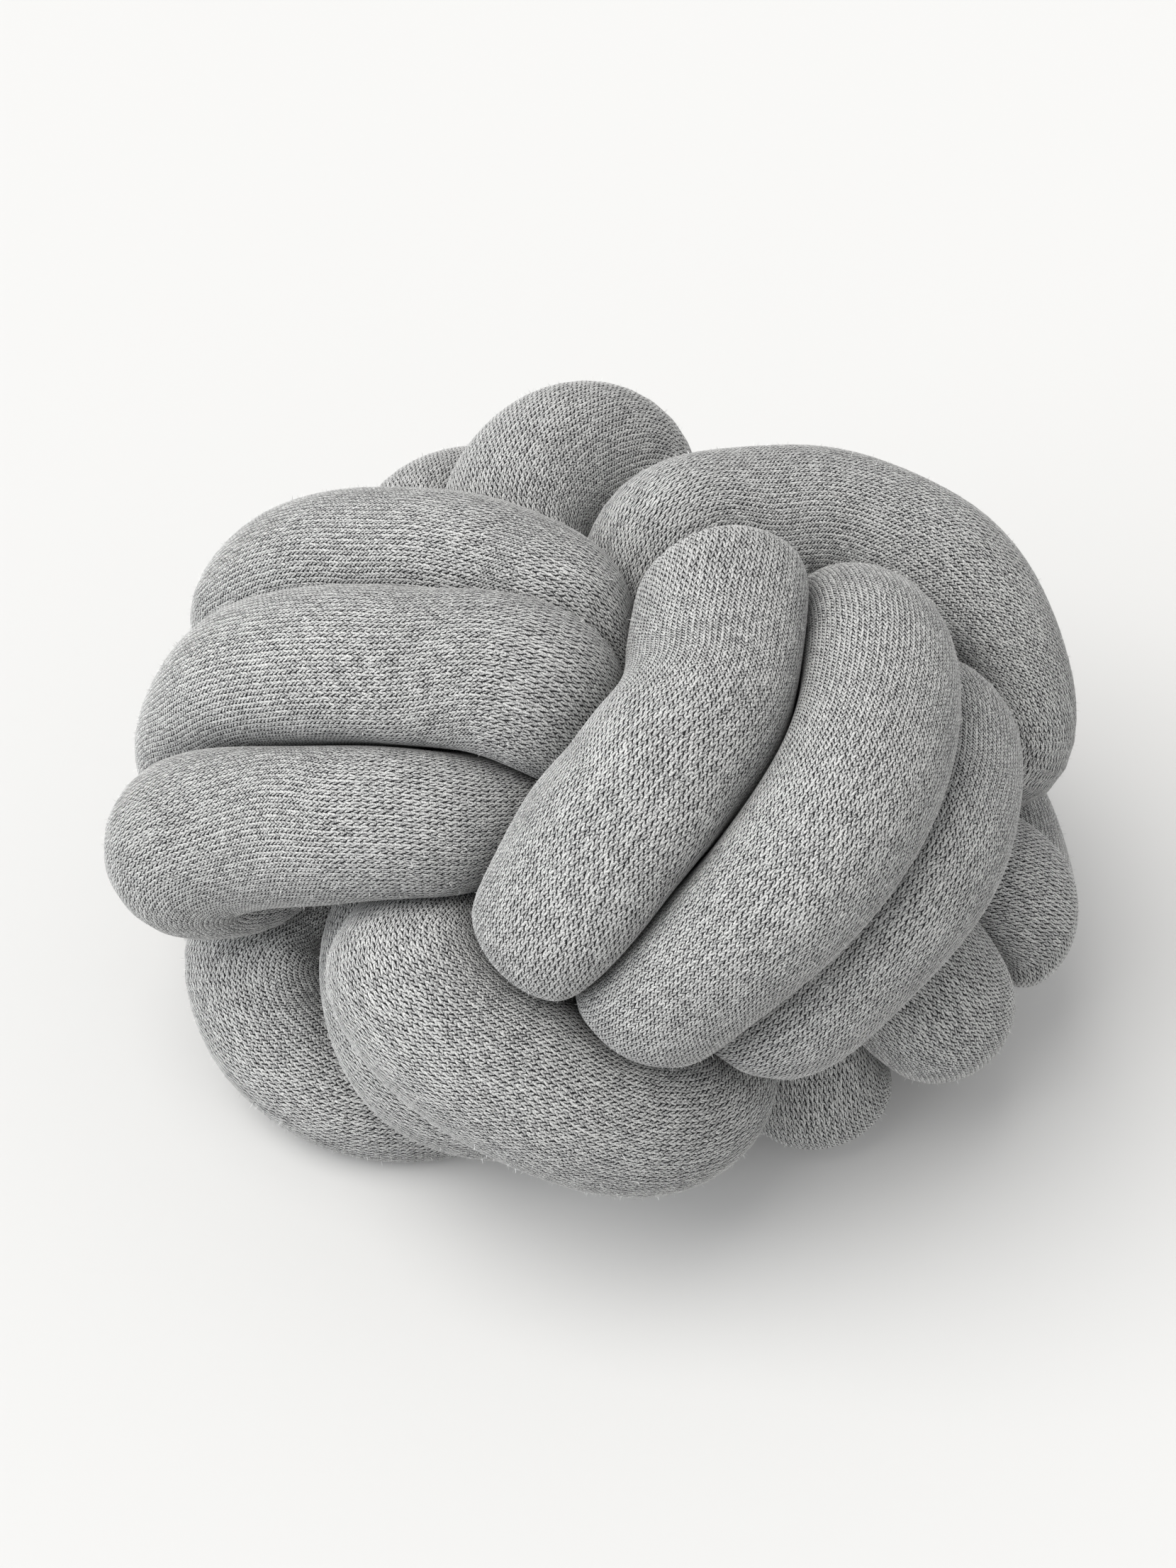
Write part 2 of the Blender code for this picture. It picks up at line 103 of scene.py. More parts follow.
# Tying: how the line is tightened.
ROUTE_STEP = 11.0         # spacing of the centre line's points
TIE_STAGES = 14
STAGE_STEPS = 40
HEIGHT_SLACK = 60.0       # room over and under the knot at the first stage
REACH_SLACK = 20.0        # room round it
PLACE_STEPS = 480
TIE_TENSION = 0.30
PLACE_TENSION = 0.25
STIFFNESS = 0.08
REFRESH = 10              # steps between two respacings
NEIGHBOURS = 5            # points along the tube that never push each other
PAIR_ROOM = 12.0          # how much nearer two strands may come between two respacings
PUSHES = 2                # in each step
PUSH_RATE = 0.6
PUSH_LIMIT = 2.5
CROWD_POWER = 0.6
PIN_RATE = 0.3
PIN_SPREAD = 3
PIN_LIMIT = 8.0
BOX_RATE = 0.5
BOX_LIMIT = 4.0
BOX_SPAN = 0.305          # part of a turn, to each side of a face's middle, that a box holds
LYING_SPAN = (0.03, 0.47)  # part of a turn, from a face's start, that takes its lift and its pins
DIVE = 0.25               # how fast the ends of the near strands dive away from the viewer
DIVE_PLACES = (-0.05, 0.55)  # the ends' middles, as a part of a turn from the face's start
DIVE_SPAN = 0.06          # and how far they reach to each side
WALL_RATE = 0.5
EVEN_SHARES = (0.5, -0.52) * 3

# The skin.
RING_COUNT = 480
RING_SIDES = 12
STRAND_GAP = 1.2          # kept to the plane between two strands, each side
HIDDEN_SWELL = 3.0        # how much fuller it is where a crossing coil hides it
CORE_SWELL = 10.0         # how far it bulges into the hollow of the knot
SWELL_SPAN = (0.18, 0.34)  # part of a turn, from a face's middle, over which a strand's own swell fades
FIRST_WAY = (0.3, 0.5, 0.8)  # the first ring's first corner lies square to this and to the line
LEAST_RADIUS = 3.0
BLEND_POWER = 8.0         # how sharply a pressed side turns into a round one
SAMPLE_STEP = 5.0
OWN_REACH = 16.0          # the line closer than this never presses a ring
PRESS_REACH = 90.0
SAME_STRAND = 60.0        # along the tube, closer than this is the same strand
RING_PASSES = 3           # evenings of the radius
BIAS_SHARE = 0.4          # how far the fuller of two strands may push the plane between them

# The strands that show, as seen by the viewer, in millimetres from the middle of the view.
#   coil, turn: which coil of the tube and which of its turns
#   face: 0 on the near side of the knot, 1 on its far side
#   lift: toward the viewer, a step
#   swell: how much fuller than the free tube it is stuffed
#   box: (left, right, low, high) that the strand's centre line keeps inside, with its ends
#   pins: (right, up) of places that the centre line passes
Strand = namedtuple("Strand", "coil turn face lift swell box pins")
FREE = 200.0
STRANDS = {
    "near left, lower": Strand(0, 2, 0, 0.0, 0.0, (-128, FREE, -30, -6),
                               ((-128, -22), (-123, -15), (-104, -12), (-83, -10), (-64, -9),
                                (-45, -9), (-31, -11))),
    "near left, middle": Strand(0, 1, 0, 0.0, 1.0, (-112, FREE, -FREE, 34),
                                ((-111, 14), (-109, 25), (-98, 31), (-83, 34), (-67, 34), (-45, 32),
                                 (-24, 26), (-5, 20))),
    "near left, upper": Strand(0, 0, 0, 0.0, 1.0, (-104, FREE, -FREE, 64),
                               ((-103, 42), (-95, 52), (-78, 61), (-60, 64), (-41, 62), (-21, 57),
                                (-5, 48))),
    "near right, first": Strand(1, 2, 0, 0.2, 2.0, (-9, 42, -39, 51),
                                ((41, 50), (39, 38), (35, 23), (25, 8), (14, -8), (3, -21), (-8, -36))),
    "near right, second": Strand(1, 1, 0, 0.0, 0.0, (18, 86, -58, 41),
                                 ((83, 40), (85, 31), (84, 15), (80, 0), (69, -16), (54, -31),
                                  (38, -45), (24, -55), (19, -58))),
    "near right, third": Strand(1, 0, 0, 0.0, 0.0, (46, 107, -63, 30),
                                ((104, 13), (106, -2), (100, -21), (86, -38), (71, -51), (56, -59),
                                 (47, -62))),
    "near below, first": Strand(2, 2, 0, 0.0, 4.0, (-53, 30, -94, FREE),
                                ((-52, -40), (-49, -56), (-42, -68), (-30, -79), (-19, -86),
                                 (-6, -91), (10, -93), (23, -92), (28, -90))),
    "near below, second": Strand(2, 1, 0, -0.5, 0.0, (-72, FREE, -94, FREE),
                                 ((-69, -55), (-63, -75), (-51, -88), (-34, -93), (-12, -93))),
    "near below, third": Strand(2, 0, 0, 0.0, 4.0, (-99, FREE, -92, FREE),
                                ((-98, -45), (-97, -55), (-94, -68), (-87, -77), (-76, -84),
                                 (-65, -88), (-50, -91), (-31, -90))),
    "far above, first": Strand(2, 2, 1, 0.0, -1.5, (26, 124, 5, 80),
                               ((26, 72), (33, 76), (42, 79), (52, 79), (66, 79), (82, 75), (97, 69),
                                (111, 60), (118, 48), (123, 36), (123, 22), (122, 12))),
    "far above, second": Strand(2, 1, 1, 0.0, 0.0, (-30, 9, 40, 98),
                                ((-20, 82), (-14, 93), (-4, 98), (6, 97))),
    "far above, third": Strand(2, 0, 1, 0.0, 0.0, (-50, FREE, 40, 82), ((-49, 71), (-41, 77), (-31, 80))),
    "far right, lower": Strand(0, 2, 1, 0.0, 2.0, (-FREE, 70, -89, FREE), ((69, -88),)),
    "far right, middle": Strand(0, 1, 1, 0.0, 0.0, (-FREE, 104, -65, FREE), ((103, -64),)),
    "far right, upper": Strand(0, 0, 1, 0.0, 0.0, (-FREE, 126, -45, FREE), ((125, -33),)),
    "far left, hidden": Strand(1, 2, 1, 0.0, 0.0, (-86, FREE, -FREE, FREE), ()),
}

# Small corrections of the tied line, a stretch to a row.
#   place, span: the stretch's middle as a route parameter, and how far it reaches to each side
#   move: (right, up, near) as seen by the viewer, in millimetres
#   swell: how much fuller than the free tube the stretch is stuffed
Nudge = namedtuple("Nudge", "place span move swell")
NUDGES = (
    Nudge(0.13, 0.06, (1.5, -0.5, 0.0), 0.0),       # near left, upper: left end, and the dive at the right
    Nudge(0.42, 0.08, (-1.0, -2.0, -2.0), 0.0),
    Nudge(0.48, 0.06, (-3.0, 0.0, -8.0), 0.0),
    Nudge(1.16, 0.07, (1.5, 0.0, 0.0), 0.0),        # near left, middle
    Nudge(1.41, 0.07, (0.0, 3.0, 0.0), 0.0),
    Nudge(1.47, 0.06, (-2.0, 0.0, -8.0), 0.0),
    Nudge(2.09, 0.09, (4.0, 15.0, -9.0), 0.0),      # near left, lower: its tail, tucked in behind it
    Nudge(2.44, 0.10, (0.0, 0.0, -7.0), 0.0),
    Nudge(4.38, 0.07, (-3.0, -4.0, 0.0), 0.5),      # near right, third: lower end
    Nudge(5.27, 0.20, (2.5, -1.5, 0.0), 0.0),       # near right, second
    Nudge(5.40, 0.08, (-4.5, -4.5, 0.0), 1.0),
    Nudge(6.15, 0.10, (-1.5, 5.0, 0.0), 1.0),       # near right, first: top end
    Nudge(6.21, 0.08, (-1.0, 0.0, 0.0), 0.0),
    Nudge(6.27, 0.20, (4.0, -1.0, 0.0), 0.5),
    Nudge(6.35, 0.08, (1.5, -0.5, 0.0), 0.0),
    Nudge(8.30, 0.12, (1.5, 1.0, 0.0), 0.0),        # near below, third
    Nudge(8.42, 0.10, (-1.0, 10.0, 4.0), 1.0),
    Nudge(9.25, 0.10, (3.0, 4.0, 0.0), 0.0),        # near below, second
    Nudge(9.37, 0.13, (9.0, 2.0, -3.0), 0.0),
    Nudge(10.19, 0.10, (1.0, -1.5, 0.0), 0.0),      # near below, first
    Nudge(10.42, 0.10, (1.0, 0.0, 5.0), 3.0),
    Nudge(8.64, 0.10, (3.0, -3.0, 0.0), 0.0),       # far above, third: the hump at the top left
    Nudge(10.60, 0.09, (4.0, 0.0, -3.0), 0.0),      # far above, first: its two ends
    Nudge(10.95, 0.06, (-1.5, 0.0, 0.0), 0.0),
    Nudge(9.74, 0.08, (2.5, 0.5, 0.0), 0.0),        # far above, second
    Nudge(0.68, 0.06, (2.0, -4.0, 0.0), 2.0),       # far right, upper
    Nudge(0.74, 0.09, (-3.0, -14.0, 0.0), 0.0),
)

# The finer skin.
FINE_STEPS = 3            # rings for each point of the tied line
FINE_SIDES = 64
FINE_GAP = 0.4            # kept to the plane between two strands, each side
FINE_PASSES = 4           # evenings of the radius
FINE_POWER = 11.0         # how sharply its pressed side turns into a round one


def ease(t):
    t = np.clip(t, 0.0, 1.0)
    return t * t * (3.0 - 2.0 * t)


def unit(v):
    return v / np.maximum(np.linalg.norm(v, axis=-1, keepdims=True), 1e-9)


def dot(a, b):
    return (a * b).sum(-1, keepdims=True)


def before(line):
    return np.roll(line, 1, 0)


def after(line):
    return np.roll(line, -1, 0)


def evened(values):
    return 0.25 * before(values) + 0.5 * values + 0.25 * after(values)


def bend_of(line):
    """From each point to the middle between its neighbours."""
    return 0.5 * (before(line) + after(line)) - line


def route_gap(route, place):
    """How far each point is from a place of the closed tube, as a route parameter."""
    return np.abs(np.mod(route - place + 0.5 * LOOP, LOOP) - 0.5 * LOOP)


def across_only(move, tangent):
    """Nothing slides along the tube."""
    return move - tangent * dot(move, tangent)


def coil_axes():
    """Long, short and stacking direction of the three coils, in (right, up, near)."""
    corner = np.array(CORNER) / np.linalg.norm(CORNER)
    side = np.array((1.0, 0.0, 0.0)) - corner * corner[0]
    side /= np.linalg.norm(side)
    rise = np.cross(corner, side)
    axes = []
    for third in (1, 0, 2):
        turn = math.radians(CORNER_TURN + 120.0 * third)
        around = math.cos(turn) * side + math.sin(turn) * rise
        axes.append(corner / math.sqrt(3.0) + math.sqrt(2.0 / 3.0) * around)
    x, y, z = axes
    return (x, y, z), (y, z, x), (z, x, y)


def squared(wave):
    return np.sign(wave) * np.abs(wave) ** SQUARENESS


def coil_route(long_way, short_way, stack_way):
    """Three turns of a coil: under at phase 0 and 0.5, open at 0.25 and 0.75 of each turn."""
    turn = np.linspace(0.0, COIL_TURNS, COIL_TURNS * TURN_SAMPLES + 1)
    across = SHORT_REACH * squared(-np.cos(2.0 * np.pi * turn))
    along = LONG_REACH * squared(np.sin(2.0 * np.pi * turn))
    row = np.full_like(turn, -0.5 * (COIL_TURNS - 1))
    for step in range(1, COIL_TURNS):
        row += ease((turn - step) / SHIFT_SPAN + 0.5)
    line = np.outer(along, long_way) + np.outer(across, short_way) + np.outer(row * TURN_PITCH, stack_way)
    return line, turn


def link_route(start, leave, end, arrive):
    """A cubic curve from one coil's end to the next coil's start."""
    s = np.linspace(0.0, 1.0, LINK_SAMPLES + 2)[1:-1, None]
    line = (2 * s ** 3 - 3 * s ** 2 + 1) * start + (s ** 3 - 2 * s ** 2 + s) * leave
    return line + (3 * s ** 2 - 2 * s ** 3) * end + (s ** 3 - s ** 2) * arrive, s[:, 0]


def first_route():
    """The whole tube as a closed loose line, with the route parameter of each point."""
    coils = [(axes, *coil_route(*axes)) for axes in coil_axes()]
    points, route = [], []
    for k, (axes, line, turn) in enumerate(coils):
        next_axes, next_line, _ = coils[(k + 1) % 3]
        leave = LINK_START * unit(line[-1] - line[-2]) + LINK_SWING * axes[1]
        arrive = LINK_START * unit(next_line[1] - next_line[0]) - LINK_SWING * next_axes[1]
        link, share = link_route(line[-1], leave, next_line[0], arrive)
        points += [line, link]
        route += [4.0 * k + turn, 4.0 * k + COIL_TURNS + share]
    return np.vstack(points), np.concatenate(route)


def respace(points, route, count=None):
    """Even spacing along the closed line."""
    closed = np.vstack([points, points[:1]])
    gaps = np.mod(np.diff(np.append(route, route[0])), LOOP)
    value = route[0] + np.append(0.0, np.cumsum(gaps))
    run = np.append(0.0, np.cumsum(np.linalg.norm(np.diff(closed, axis=0), axis=1)))
    count = count or int(round(run[-1] / ROUTE_STEP))
    s = np.linspace(0.0, run[-1], count, endpoint=False)
    moved = np.stack([np.interp(s, run, line) for line in closed.T], 1)
    return moved, np.mod(np.interp(s, run, value), LOOP)


def keep_out(route):
    """Half of the distance that each point keeps from other strands."""
    phase = np.mod(route, 4.0)
    openness = np.clip(0.25 - np.abs(np.mod(phase, 0.5) - 0.25), 0.0, 0.25) / 0.25
    keep = UNDER_KEEP + (OPEN_KEEP - UNDER_KEEP) * ease((openness - KEEP_START) / KEEP_FADE)
    keep = np.where(phase > COIL_TURNS, CORE_KEEP, keep)
    for _ in range(KEEP_PASSES):
        keep = evened(keep)
    return keep


def near_pairs(points, reach):
    """Pairs of points of different strands that may touch before the next refresh."""
    square = sum((line[:, None] - line[None]) ** 2 for line in points.T)
    i, j = np.nonzero(np.triu(square < reach ** 2, NEIGHBOURS + 1))
    apart = np.minimum(j - i, len(points) - (j - i)) > NEIGHBOURS
    return i[apart], j[apart]


def push_apart(points, tangent, i, j, keep):
    """Strands closer than they keep move apart."""
    count = len(points)
    gap = points[j] - points[i]
    distance = np.linalg.norm(gap, axis=1)
    close = distance < keep
    gap, distance, i, j = gap[close], distance[close], i[close], j[close]
    shove = gap * ((keep[close] - distance) * 0.5 / distance)[:, None]
    crowd = np.bincount(i, minlength=count) + np.bincount(j, minlength=count)
    move = np.stack([np.bincount(j, part, count) - np.bincount(i, part, count) for part in shove.T], 1)
    move = PUSH_RATE * move / np.maximum(crowd, 1)[:, None] ** CROWD_POWER
    move = across_only(move, tangent)
    size = np.linalg.norm(move, axis=1, keepdims=True)
    return points + move * np.minimum(1.0, PUSH_LIMIT / np.maximum(size, 1e-9))


def place_strands(points, route, tangent):
    """Draw the open strands to their pins and keep them in their boxes, both as the viewer sees them."""
    shrink = (SIGHT_DISTANCE - points[:, 2]) / SIGHT_DISTANCE
    seen = points[:, :2] / shrink[:, None]
    offsets = np.arange(-PIN_SPREAD, PIN_SPREAD + 1)
    shares = np.exp(-2.0 * (offsets / PIN_SPREAD) ** 2)
    pull = np.zeros_like(points)
    weight = np.zeros(len(points))
    move = np.zeros_like(points)
    for strand in STRANDS.values():
        phase = route - 4.0 * strand.coil - strand.turn - 0.5 * strand.face
        lying = np.nonzero((phase > LYING_SPAN[0]) & (phase < LYING_SPAN[1]))[0]
        move[lying, 2] += strand.lift
        for pin in strand.pins:
            miss = np.array(pin) - seen[lying]
            nearest = np.argmin((miss ** 2).sum(1))
            share = (lying[nearest] + offsets) % len(points)
            pull[share, :2] += miss[nearest] * shrink[lying[nearest]] * shares[:, None]
            weight[share] += shares
        left, right, low, high = strand.box
        held = np.nonzero(np.abs(phase - 0.25) < BOX_SPAN)[0]
        inside = np.clip(seen[held], (left, low), (right, high))
        move[held, :2] += BOX_RATE * np.clip(inside - seen[held], -BOX_LIMIT, BOX_LIMIT)
        if strand.face == 0:
            for place in DIVE_PLACES:
                move[np.abs(phase - place) < DIVE_SPAN, 2] -= DIVE
    pull /= np.maximum(weight, 1.0)[:, None]
    size = np.linalg.norm(pull, axis=1, keepdims=True)
    move += PIN_RATE * pull * np.minimum(1.0, PIN_LIMIT / np.maximum(size, 1e-9))
    return points + across_only(move, tangent)


def settle(points, route, steps, walls, tension, placed):
    """Pull the tube tight; strands keep apart, and walls hold the knot's height and reach."""
    for step in range(steps):
        if step % REFRESH == 0:
            points, route = respace(points, route)
            keep = keep_out(route)
            i, j = near_pairs(points, 2.0 * keep.max() + PAIR_ROOM)
            pair_keep = keep[i] + keep[j]
        tangent = unit(after(points) - before(points))
        bend = bend_of(points)
        points = points + across_only(tension * bend - STIFFNESS * bend_of(bend), tangent)
        for _ in range(PUSHES):
            points = push_apart(points, tangent, i, j, pair_keep)
        if placed:
            points = place_strands(points, route, tangent)
        for way, low, high in walls:
            height = (points * way).sum(1)
            over = np.clip(low - height, 0.0, None) - np.clip(height - high, 0.0, None)
            points = points + WALL_RATE * np.outer(over, way)
    return points, route


def nudge_shares(route):
    """How much of each small correction each point takes."""
    place = np.array([nudge.place for nudge in NUDGES])
    span = np.array([nudge.span for nudge in NUDGES])
    return ease(1.0 - route_gap(route[:, None], place) / span)


def tied_route():
    """The tight knot's centre line in (right, back, up) over the floor."""
    tilt = math.radians(SIGHT_ELEVATION)
    right = np.array((1.0, 0.0, 0.0))
    back = np.array((0.0, math.sin(tilt), -math.cos(tilt)))
    up = np.array((0.0, math.cos(tilt), math.sin(tilt)))
    half = 0.5 * REST_HEIGHT - TUBE_RADIUS
    points, route = respace(*first_route())
    for stage in range(TIE_STAGES):
        loose = 1.0 - (stage + 1) / TIE_STAGES
        height = half + HEIGHT_SLACK * loose
        slack = REACH_SLACK * loose
        walls = ((up, -height, height),
                 (right, -HALF_WIDTH - slack, HALF_WIDTH + slack),
                 (back, -FRONT_REACH - slack, BACK_REACH + slack))
        points, route = settle(points, route, STAGE_STEPS, walls, TIE_TENSION, placed=False)
    points, route = settle(points, route, PLACE_STEPS, walls, PLACE_TENSION, placed=True)
    points, route = respace(points, route)
    for share in EVEN_SHARES:
        points = points + share * bend_of(points)
    points = points + nudge_shares(route) @ np.array([nudge.move for nudge in NUDGES])
    over_floor = half + TUBE_RADIUS - FLOOR_SINK
    return np.hstack([dot(points, right), dot(points, back), dot(points, up) + over_floor]), route


def ring_ways(points, sides):
    """Directions out of the tube's centre line, turning as little as possible and closing on themselves."""
    count = len(points)
    tangent = unit(after(points) - before(points))
    side = np.zeros_like(points)
    side[0] = unit(np.cross(tangent[0], FIRST_WAY))
    for k in range(1, count):
        side[k] = unit(across_only(side[k - 1], tangent[k]))
    last = unit(across_only(side[-1], tangent[0]))
    miss = math.atan2(float(dot(np.cross(last, side[0]), tangent[0])[0]), float(dot(last, side[0])[0]))
    turn = (miss * np.arange(count) / count)[:, None]
    side = side * np.cos(turn) + np.cross(tangent, side) * np.sin(turn)
    across = np.cross(tangent, side)
    angle = np.linspace(0.0, 2.0 * np.pi, sides, endpoint=False)[None, :, None]
    return np.cos(angle) * side[:, None] + np.sin(angle) * across[:, None]


def strand_swell(route):
    """How much fuller than the free tube each point is, by the strand it is on."""
    full, none = SWELL_SPAN
    swell = np.zeros(len(route))
    for strand in STRANDS.values():
        middle = 4.0 * strand.coil + strand.turn + 0.5 * strand.face + 0.25
        swell += strand.swell * ease((none - route_gap(route, middle)) / (none - full))
    return swell + nudge_shares(route) @ np.array([nudge.swell for nudge in NUDGES])


def pressed_rings(points, route, sides, gap, passes, power):
    """Rings of the tube, flattened where it meets itself and the floor."""
    ways = ring_ways(points, sides)
    length = np.linalg.norm(after(points) - points, axis=1).sum()
    others, other_route = respace(points, route, int(length / SAMPLE_STEP))
    room = (keep_out(route) * TUBE_RADIUS / OPEN_KEEP) ** 2
    other_room = (keep_out(other_route) * TUBE_RADIUS / OPEN_KEEP) ** 2
    place = np.arange(len(points)) / len(points)
    other_place = np.arange(len(others)) / len(others)
    limit = np.zeros((len(points), sides))
    for k, centre in enumerate(points):
        away = others - centre
        square = (away ** 2).sum(1)
        close = (square > OWN_REACH ** 2) & (square < PRESS_REACH ** 2)
        toward = (ways[k][:, None] * away[close][None]).sum(2)
        apart = np.abs(np.mod(other_place[close] - place[k] + 0.5, 1.0) - 0.5) * length
        most = BIAS_SHARE * square[close]
        bias = np.where(apart > SAME_STRAND, np.clip(room[k] - other_room[close], -most, most), 0.0)
        reach = square[close] + bias
        limit[k] = np.where(toward > 1e-6, reach / np.maximum(2.0 * toward, 2e-6), 1e6).min(1)
    limit = np.maximum(limit - gap, LEAST_RADIUS)
    hidden = np.clip((OPEN_KEEP - keep_out(route)) / (OPEN_KEEP - UNDER_KEEP), 0.0, 1.0)
    inward = unit(np.array((0.0, 0.0, 0.5 * REST_HEIGHT - FLOOR_SINK)) - points)
    bulge = np.clip((ways * inward[:, None]).sum(2), 0.0, 1.0)
    free = (TUBE_RADIUS + HIDDEN_SWELL * hidden + strand_swell(route))[:, None] + CORE_SWELL * bulge
    radius = (free ** -power + limit ** -power) ** (-1.0 / power)
    for _ in range(passes):
        radius = np.minimum(evened(evened(radius).T).T, limit)
    rings = points[:, None] + ways * radius[..., None]
    rings[..., 2] = np.maximum(rings[..., 2], 0.0)
    return rings


def finer(points, route, steps):
    """More points along the closed line, on a smooth curve through the given ones."""
    share = (np.arange(steps) / steps)[None, :, None]
    a, b, c, d = (np.roll(points, shift, 0)[:, None] for shift in (1, 0, -1, -2))
    curve = b + 0.5 * share * (c - a + share * (2 * a - 5 * b + 4 * c - d + share * (3 * (b - c) + d - a)))
    gap = np.mod(after(route) - route, LOOP)[:, None]
    return curve.reshape(-1, 3), np.mod(route[:, None] + gap * share[..., 0], LOOP).ravel()


def reach_middle(rings):
    """The middle of the rings' reach, on the floor."""
    middle = 0.5 * (rings.min(axis=(0, 1)) + rings.max(axis=(0, 1)))
    return np.array((middle[0], middle[1], 0.0))


@lru_cache(maxsize=None)
def tied_knot():
    """The fine centre line, its route and the middle of the plain solid's reach, worked out once."""
    centre, route = tied_route()
    plain_line, plain_route = respace(centre, route, RING_COUNT)
    plain = pressed_rings(plain_line, plain_route, RING_SIDES, STRAND_GAP, RING_PASSES, BLEND_POWER)
    return *finer(centre, route, FINE_STEPS), reach_middle(plain)


def cloth_places(rings, line):
    """For each corner of the rings: its share of the way round and along the tube."""
    closed = np.concatenate([rings, rings[:, :1]], 1)
    steps = np.linalg.norm(np.diff(closed, axis=1), axis=2)
    round_share = np.hstack([np.zeros((len(rings), 1)), np.cumsum(steps, axis=1)])
    round_share /= round_share[:, -1:]
    round_share = np.vstack([round_share, round_share[:1]])
    steps = np.linalg.norm(after(line) - line, axis=1)
    along_share = np.append(0.0, np.cumsum(steps)) / steps.sum()
    return round_share, along_share


def closed_tube(name, rings, line):
    """A smooth mesh through the rings, joined end to end, its cloth laid out on its own map."""
    count, sides = rings.shape[:2]
    ring, side = np.meshgrid(np.arange(count), np.arange(sides), indexing="ij")
    next_ring, next_side = ring + 1, side + 1
    corners = ((ring, side), (ring, next_side), (next_ring, next_side), (next_ring, side))
    faces = np.stack([(r % count) * sides + s % sides for r, s in corners], -1).reshape(-1, 4)
    mesh = bpy.data.meshes.new(name)
    mesh.from_pydata((rings * MM).reshape(-1, 3).tolist(), [], faces.tolist())
    round_share, along_share = cloth_places(rings, line)
    places = np.stack([np.stack([round_share[r, s], along_share[r]], -1) for r, s in corners], -2)
    mesh.uv_layers.new(name=CLOTH_MAP)
    mesh.uv_layers[CLOTH_MAP].data.foreach_set("uv", places.astype(np.float32).ravel())
    mesh.shade_smooth()
    return mesh


class Tree:
    """Short ways to add and join the nodes of one tree."""

    WIDE, TALL, IN_A_ROW = 180, 220, 12

    def __init__(self, tree):
        self.tree = tree
        self.count = 0

    def node(self, kind, _inputs=None, **settings):
        """A new node with its inputs, by name or number, fed with values or links."""
        node = self.tree.nodes.new(kind)
        row, column = divmod(self.count, self.IN_A_ROW)
        node.location = (self.WIDE * column, -self.TALL * row)
        self.count += 1
        for key, value in settings.items():
            setattr(node, key, value)
        for key, value in (_inputs or {}).items():
            self.feed(node.inputs[key], value)
        return node

    def feed(self, socket, value):
        if isinstance(value, bpy.types.NodeSocket):
            self.tree.links.new(value, socket)
        else:
            socket.default_value = value

    def apart(self, vector):
        return self.node("ShaderNodeSeparateXYZ", {0: vector}).outputs

    def math(self, operation, *values, clamp=False):
        node = self.node("ShaderNodeMath", dict(enumerate(values)), operation=operation, use_clamp=clamp)
        return node.outputs[0]

    def times(self, first, second):
        return self.math("MULTIPLY", first, second)

    def plus(self, first, second):
        return self.math("ADD", first, second)

    def minus(self, first, second, clamp=False):
        return self.math("SUBTRACT", first, second, clamp=clamp)

    def step(self, value, low, high):
        """0 below low, 1 above high, smooth between."""
        node = self.node("ShaderNodeMapRange", {0: value, 1: low, 2: high}, interpolation_type="SMOOTHSTEP")
        return node.outputs[0]

    def mix(self, share, first, second):
        node = self.node("ShaderNodeMix", {0: share, 6: first, 7: second}, data_type="RGBA")
        return node.outputs[2]

    def join(self, *parts):
        return self.node("ShaderNodeCombineXYZ", dict(enumerate(parts))).outputs[0]

    def noise(self, place, scale, detail, rough=0.5):
        """The value and the colour of a noise."""
        inputs = {"Vector": place, "Scale": scale, "Detail": detail, "Roughness": rough}
        return self.node("ShaderNodeTexNoise", inputs).outputs


def new_group(tree_type, name, inputs, outputs):
    """An empty node group: (name, type, default) of each input, (name, type) of each output."""
    group = bpy.data.node_groups.new(name, tree_type)
    for label, kind, default in inputs:
        socket = group.interface.new_socket(label, in_out="INPUT", socket_type=kind)
        if default is not None:
            socket.default_value = default
    for label, kind in outputs:
        group.interface.new_socket(label, in_out="OUTPUT", socket_type=kind)
    return group


def new_material(name):
    """A material with its Principled BSDF, and the helper for its tree."""
    material = bpy.data.materials.new(name)
    material.use_nodes = True
    return material, material.node_tree.nodes["Principled BSDF"], Tree(material.node_tree)


# One stitch has two legs, one to each hand. Widths are shares of a wale, lengths are shares of a course.
STRAY_SCALE = 260.0       # of the noise that moves stitches out of their rows
STRAY_ACROSS = 1.2
STRAY_ALONG = 2.4
LEG_CURL = 0.08           # how much steeper a leg is at its ends
LEG_LEAST = 0.84          # width of the thinnest leg
LEG_MORE = 0.32           # how much wider the widest is
INNER_START = 2.0         # the leg's inner end narrows from the middle of its run
INNER_POWER = 1.5
OUTER_SLOPE = 2.2         # and its outer end a little, near the wale's edge
OUTER_START = 1.2
OUTER_SHARE = 0.45
END_NARROWING = 0.5
END_SINKING = 0.4
HAND_WIDTH = 0.09         # the legs of one hand are wider and stand higher
HAND_HEIGHT = 0.14
LEG_HEIGHT = 0.95
LEG_ROUNDNESS = 0.55
TWIST_ACROSS = 4.5        # the fibres of a leg: finer across it than along it
TWIST_ALONG = 3.5
WALE_SHIFT = 7.3
HAND_SHIFT = 3.1
FIBRE_RANGE = (0.3, 0.7)
FLECK_SCALE = 2400.0
FLECK_RANGE = (0.32, 0.68)
FIBRE_RELIEF = 0.45
UNSHADED_RANGE = (0.32, 0.7)  # heights between which the painted shade of an eye gives way to yarn
